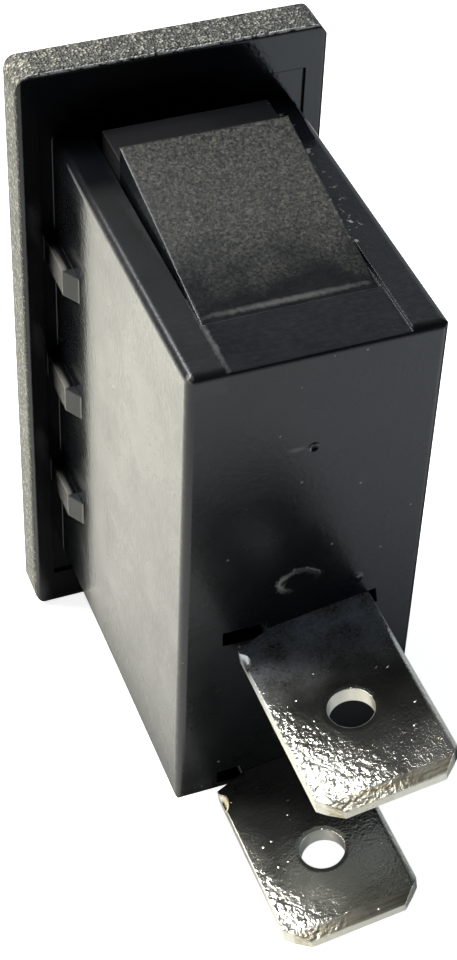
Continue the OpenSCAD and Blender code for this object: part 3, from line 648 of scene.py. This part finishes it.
class SWITCH_OT_blades(bpy.types.Operator):
    """Gives the blades their plating"""

    bl_idname = "switch.blades"
    bl_label = "Blades"

    def execute(self, context):
        look = context.scene.switch_blades
        for node, blade, bend_at, bend, oil_and_painted_lift_amount in BLADES:
            # Bright plating on stamped brass: a dark mirror with a satin, peeled corner where the tip was bent,
            # rolled edges, pale cut faces, a brown, layered coined tip and dried press oil near the housing, which
            # on the upper blade is also painted light lifting the shade at its root.
            material, tree, place = new_material("Bright plated brass")
            at_x, tip, at_z = (value * PER_MM for value in MOUNTS[blade]["pos_m"])
            hole = MOUNTS[blade + "_hole"]
            hole_y = hole["pos_m"][1] * PER_MM
            hole_r = hole["dims"]["r_mm"]
            lean = math.atan(hole["axis"][0] / hole["axis"][2])
            own = add(tree, "ShaderNodeMapping", {
                "Vector": place, "Location": (at_x, 0, at_z), "Rotation": (0, lean, 0)}, vector_type="TEXTURE")
            at = add(tree, "ShaderNodeSeparateXYZ", {0: own})
            u, v = at.outputs["X"], at.outputs["Y"]
            edge = add(tree, "ShaderNodeMath", {0: u}, operation="ABSOLUTE")

            # Patterns, in cells per millimetre: orange peel, fine grain, haze, nodules and the coined tip's layers.
            peel = add(tree, "ShaderNodeTexNoise", {
                "Vector": own, "Scale": MM / look.peel, "Detail": 2.0, "Distortion": 0.4})
            fine = add(tree, "ShaderNodeTexNoise", {"Vector": own, "Scale": 9.0, "Detail": 3.0})
            haze = add(tree, "ShaderNodeTexNoise", {"Vector": own, "Scale": 0.7, "Detail": 3.0})
            nodule = add(tree, "ShaderNodeTexVoronoi", {"Vector": own, "Scale": 1.4})
            nodule = add(tree, "ShaderNodeMapRange", {"Value": nodule, "From Min": 0.12, "From Max": 0.0},
                         interpolation_type="SMOOTHSTEP")
            layer = add(tree, "ShaderNodeMapping", {"Vector": own, "Scale": (0.6, 9.0, 14.0)})
            layer = add(tree, "ShaderNodeTexNoise", {"Vector": layer, "Scale": 1.0, "Detail": 3.0})

            # Distance past the line of the bend towards the tip's left corner, from the hole's axis and from the
            # staked dent, and the clouds of oil.
            corner = add(tree, "ShaderNodeMath", {0: v, 1: BEND_SLOPE, 2: u}, operation="MULTIPLY_ADD")
            corner = add(tree, "ShaderNodeMath", {0: corner, 1: bend_at + BEND_SLOPE * REAR_Y},
                         operation="SUBTRACT")
            ring = add(tree, "ShaderNodeVectorMath", {0: own, 1: (0, hole_y, 0)}, operation="SUBTRACT")
            ring = add(tree, "ShaderNodeVectorMath", {0: ring, 1: (1, 1, 0)}, operation="MULTIPLY")
            ring = add(tree, "ShaderNodeVectorMath", {0: ring}, operation="LENGTH")
            stake = add(tree, "ShaderNodeVectorMath", {0: own, 1: (ROLL_X, REAR_Y + 1.3, 0)}, operation="DISTANCE")
            film = add(tree, "ShaderNodeMath", {0: fine, 1: 0.7, 2: haze}, operation="MULTIPLY_ADD")

            # Fades: a place in millimetres or a pattern, where its fade starts and stops, and its least and most.
            fade = {}
            for name, value, start, stop, least, most in (
                    ("frost", corner, -2.4, 0.2, 0.008, 0.15),
                    ("pitted", v, tip - 5.5, tip - 1.5, 0, 0.012),
                    ("streak", layer, 0.35, 0.65, 0, 1),
                    ("coined", v, tip - 0.62, tip - 0.56, 0, 1),
                    ("side", edge, BLADE_HALF - 0.05, BLADE_HALF - 0.01, 0, 1),
                    ("wall", ring, hole_r + 0.03, hole_r + 0.01, 0, 1),
                    ("end", v, tip - 0.05, tip - 0.02, 0, 1),
                    ("stake", stake, 0.6, 0.35, 0, 0.8),
                    ("rough", haze, 0.3, 0.7, 0.11, 0.18),
                    ("toward tip", v, tip - 4.0, tip - 0.6, 0, 0.02),
                    ("satin", corner, -2.4, 0.0, 0, 0.17),
                    ("film", film, 0.55, 1.05, 0, oil_and_painted_lift_amount),
                    ("by root", v, REAR_Y + 4.5, REAR_Y + 0.8, 0, 1)):
                fade[name] = add(tree, "ShaderNodeMapRange", {
                    "Value": value, "From Min": start, "From Max": stop, "To Min": least, "To Max": most})

            # Relief: the peel, the bent corner, the right edge's die roll, the hole's drawn-in rim and the grain.
            bent = add(tree, "ShaderNodeMath", {0: corner, 1: 0.0, 2: 1.4}, operation="SMOOTH_MAX")
            rolled = add(tree, "ShaderNodeMath", {0: -ROLL_X, 1: u}, operation="SUBTRACT")
            rolled = add(tree, "ShaderNodeMath", {0: rolled, 1: 0.0, 2: 0.15}, operation="SMOOTH_MAX")
            drawn_in = add(tree, "ShaderNodeMath", {0: hole_r + 0.2, 1: ring}, operation="SUBTRACT")
            drawn_in = add(tree, "ShaderNodeMath", {0: drawn_in, 1: 0.0, 2: 0.1}, operation="SMOOTH_MAX")
            frost = add(tree, "ShaderNodeMath", {0: fade["frost"], 1: fade["pitted"]}, operation="MAXIMUM")
            height = add(tree, "ShaderNodeMath", {0: peel, 1: frost}, operation="MULTIPLY")
            for relief, depth in ((bent, -bend * look.droop), (rolled, -look.roll), (drawn_in, -0.15),
                                  (fine, 0.009), (nodule, 0.03)):
                height = add(tree, "ShaderNodeMath", {0: relief, 1: depth, 2: height}, operation="MULTIPLY_ADD")
            soft = add(tree, "ShaderNodeBevel", {"Radius": look.edge}, samples=EDGE_SAMPLES)
            normal = add(tree, "ShaderNodeBump", {"Height": height, "Distance": MM, "Normal": soft})

            # Cut faces are the sides, the hole's wall and the tip's end; the coined bevel and the dent are brown.
            cut = add(tree, "ShaderNodeMath", {0: fade["side"], 1: fade["wall"]}, operation="MAXIMUM")
            cut = add(tree, "ShaderNodeMath", {0: cut, 1: fade["end"]}, operation="MAXIMUM")
            brown = add(tree, "ShaderNodeMath", {0: fade["coined"], 1: fade["streak"]}, operation="MULTIPLY")
            brown = add(tree, "ShaderNodeMath", {0: brown, 1: fade["stake"]}, operation="MAXIMUM")
            # Dried press oil and dust lie in clouds near the housing and cover the metal there; the pale film also
            # paints light, lifting the shade at the upper blade's root.
            oil_and_painted_lift_mask = add(tree, "ShaderNodeMath", {0: fade["film"], 1: fade["by root"]}, operation="MULTIPLY")
            metal = add(tree, "ShaderNodeMath", {0: 0.97, 1: oil_and_painted_lift_mask}, operation="SUBTRACT")
            colour = rgba(look.plating)
            for amount, paint in ((brown, look.sheared), (cut, look.bright), (oil_and_painted_lift_mask, look.oil_and_painted_lift)):
                colour = add(tree, "ShaderNodeMix", {0: amount, 6: colour, 7: rgba(paint)}, data_type="RGBA")
            rough = fade["rough"]
            for amount, extra in ((fade["toward tip"], 1.0), (fade["satin"], 1.0), (fade["coined"], 0.15),
                                  (cut, 0.3)):
                rough = add(tree, "ShaderNodeMath", {0: amount, 1: extra, 2: rough}, operation="MULTIPLY_ADD")
            shader = add(tree, "ShaderNodeBsdfPrincipled", {
                "Base Color": colour, "Metallic": metal, "Roughness": rough, "Normal": normal})
            add(tree, "ShaderNodeOutputMaterial", {"Surface": shader})
            wear(node, material)
        return {"FINISHED"}


class SWITCH_OT_stage(bpy.types.Operator):
    """Sets the floor, the lights and the camera"""

    bl_idname = "switch.stage"
    bl_label = "Stage"

    def execute(self, context):
        scene = context.scene
        look = scene.switch_stage
        scene.view_settings.view_transform = "Standard"

        camera = bpy.data.objects.new("camera", bpy.data.cameras.new("camera"))
        camera.data.lens = look.lens
        camera.data.sensor_width = SENSOR
        camera.data.clip_start = MM
        camera.data.clip_end = 10
        aim = Vector(look.camera_aim).normalized()
        right = aim.cross(Vector((0, 0, 1))).normalized()
        up = right.cross(aim)
        level, tipped = math.cos(look.camera_roll), math.sin(look.camera_roll)
        right, up = right * level + up * tipped, up * level - right * tipped
        facing = Matrix((right, up, -aim)).transposed().to_4x4()
        camera.matrix_world = Matrix.Translation(Vector(look.camera_at)) @ facing
        scene.collection.objects.link(camera)
        scene.camera = camera

        mesh = bpy.data.meshes.new("floor")
        shape = bmesh.new()
        bmesh.ops.create_grid(shape, x_segments=2, y_segments=2, size=1.0)
        bmesh.ops.translate(shape, verts=shape.verts, vec=(0, 0, cad_box[0][2]))
        shape.to_mesh(mesh)
        shape.free()
        floor = bpy.data.objects.new("floor", mesh)
        scene.collection.objects.link(floor)
        # Matt card: its glow makes it white to the camera, and mirrors show it almost as the lamps light it.
        material, tree, place = new_material("Matt white card")
        path = add(tree, "ShaderNodeLightPath")
        glossy = path.outputs["Is Glossy Ray"]
        mirrored = add(tree, "ShaderNodeMath", {0: glossy, 1: path.outputs["Is Transmission Ray"]},
                       operation="MAXIMUM")
        glow = add(tree, "ShaderNodeMath", {0: mirrored, 1: MIRROR_GLOW}, operation="MULTIPLY")
        far = add(tree, "ShaderNodeVectorMath", {0: place}, operation="LENGTH")
        far = add(tree, "ShaderNodeMapRange", {
            "Value": far, "From Min": 150.0, "From Max": 400.0, "To Min": 0.86, "To Max": 1.0})
        glow = add(tree, "ShaderNodeMath", {0: path.outputs["Is Camera Ray"], 1: far, 2: glow},
                   operation="MULTIPLY_ADD")
        # In mirrors the card is painted dark beside the switch and after two bounces, a painted shadow so that the
        # bezel's glossy back and the left side, which mirror it and each other, stay black.
        spot = add(tree, "ShaderNodeSeparateXYZ", {0: place})
        beside = glossy
        for axis, start, stop in (("X", 7.6, 6.0), ("Y", -1.0, 0.5), ("Y", 24.0, 20.0)):
            part = add(tree, "ShaderNodeMapRange", {
                "Value": spot.outputs[axis], "From Min": start, "From Max": stop})
            beside = add(tree, "ShaderNodeMath", {0: part, 1: beside}, operation="MULTIPLY")
        dark = add(tree, "ShaderNodeMath", {0: path.outputs["Glossy Depth"], 1: 1.5}, operation="GREATER_THAN")
        dark = add(tree, "ShaderNodeMath", {0: dark, 1: beside}, operation="MAXIMUM")
        card = add(tree, "ShaderNodeMix", {0: dark, 6: rgba(look.floor), 7: (0.02, 0.02, 0.02, 1)},
                   data_type="RGBA")
        shader = add(tree, "ShaderNodeBsdfPrincipled", {
            "Base Color": card, "Roughness": 0.9, "Specular IOR Level": 0.1,
            "Emission Color": (1, 1, 1, 1), "Emission Strength": glow})
        add(tree, "ShaderNodeOutputMaterial", {"Surface": shader})
        mesh.materials.append(material)

        world = bpy.data.worlds.new("Window light")
        world.use_nodes = True
        tree = world.node_tree
        tree.nodes.clear()
        way = add(tree, "ShaderNodeTexCoord")
        strength = 0.0
        for toward, start, stop, least, most in WINDOWS:
            front = add(tree, "ShaderNodeVectorMath", {0: way.outputs["Generated"], 1: toward},
                        operation="DOT_PRODUCT")
            window = add(tree, "ShaderNodeMapRange", {
                "Value": front, "From Min": start, "From Max": stop, "To Min": least, "To Max": most},
                interpolation_type="SMOOTHSTEP")
            strength = add(tree, "ShaderNodeMath", {0: window, 1: strength}, operation="ADD")
        sky = add(tree, "ShaderNodeBackground", {"Color": (0.86, 0.93, 1.0, 1), "Strength": strength})
        seen = add(tree, "ShaderNodeBackground", {"Color": (1, 1, 1, 1), "Strength": 1.0})
        path = add(tree, "ShaderNodeLightPath")
        shown = add(tree, "ShaderNodeMixShader", {0: path.outputs["Is Camera Ray"], 1: sky, 2: seen})
        add(tree, "ShaderNodeOutputWorld", {"Surface": shown})
        scene.world = world

        for name, spot, target, width, level, tint, in_mirrors in LAMPS:
            lamp = bpy.data.lights.new(name, "AREA")
            lamp.shape = "SQUARE"
            lamp.size = width
            lamp.energy = level * math.pi * width * width
            lamp.color = tint
            box = bpy.data.objects.new(name, lamp)
            away = Vector(spot) - Vector(target)
            box.matrix_world = Matrix.Translation(spot) @ away.to_track_quat("Z", "Y").to_matrix().to_4x4()
            box.visible_camera = False
            box.visible_glossy = in_mirrors
            scene.collection.objects.link(box)
        return {"FINISHED"}


class SWITCH_PT_panel(bpy.types.Panel):
    """Lists the steps that finish the switch"""

    bl_label = "Switch"
    bl_idname = "SWITCH_PT_panel"
    bl_space_type = "VIEW_3D"
    bl_region_type = "UI"
    bl_category = "Switch"

    def draw(self, context):
        for step in STEPS:
            self.layout.operator(step.bl_idname)


STEPS = (SWITCH_OT_housing, SWITCH_OT_rocker, SWITCH_OT_plunger, SWITCH_OT_contacts, SWITCH_OT_blades,
         SWITCH_OT_stage)
GROUPS = {
    "switch_moulding": SwitchMoulding, "switch_marks": SwitchMarks, "switch_inside": SwitchInside,
    "switch_blades": SwitchBlades, "switch_stage": SwitchStage,
}
CLASSES = (*GROUPS.values(), *STEPS, SWITCH_PT_panel)


def register():
    for item in CLASSES:
        bpy.utils.register_class(item)
    for name, group in GROUPS.items():
        setattr(bpy.types.Scene, name, PointerProperty(type=group))


def unregister():
    for name in GROUPS:
        delattr(bpy.types.Scene, name)
    for item in reversed(CLASSES):
        bpy.utils.unregister_class(item)


def main():
    register()
    bpy.ops.switch.housing()
    bpy.ops.switch.rocker()
    bpy.ops.switch.plunger()
    bpy.ops.switch.contacts()
    bpy.ops.switch.blades()
    bpy.ops.switch.stage()


if __name__ == "__main__":
    main()
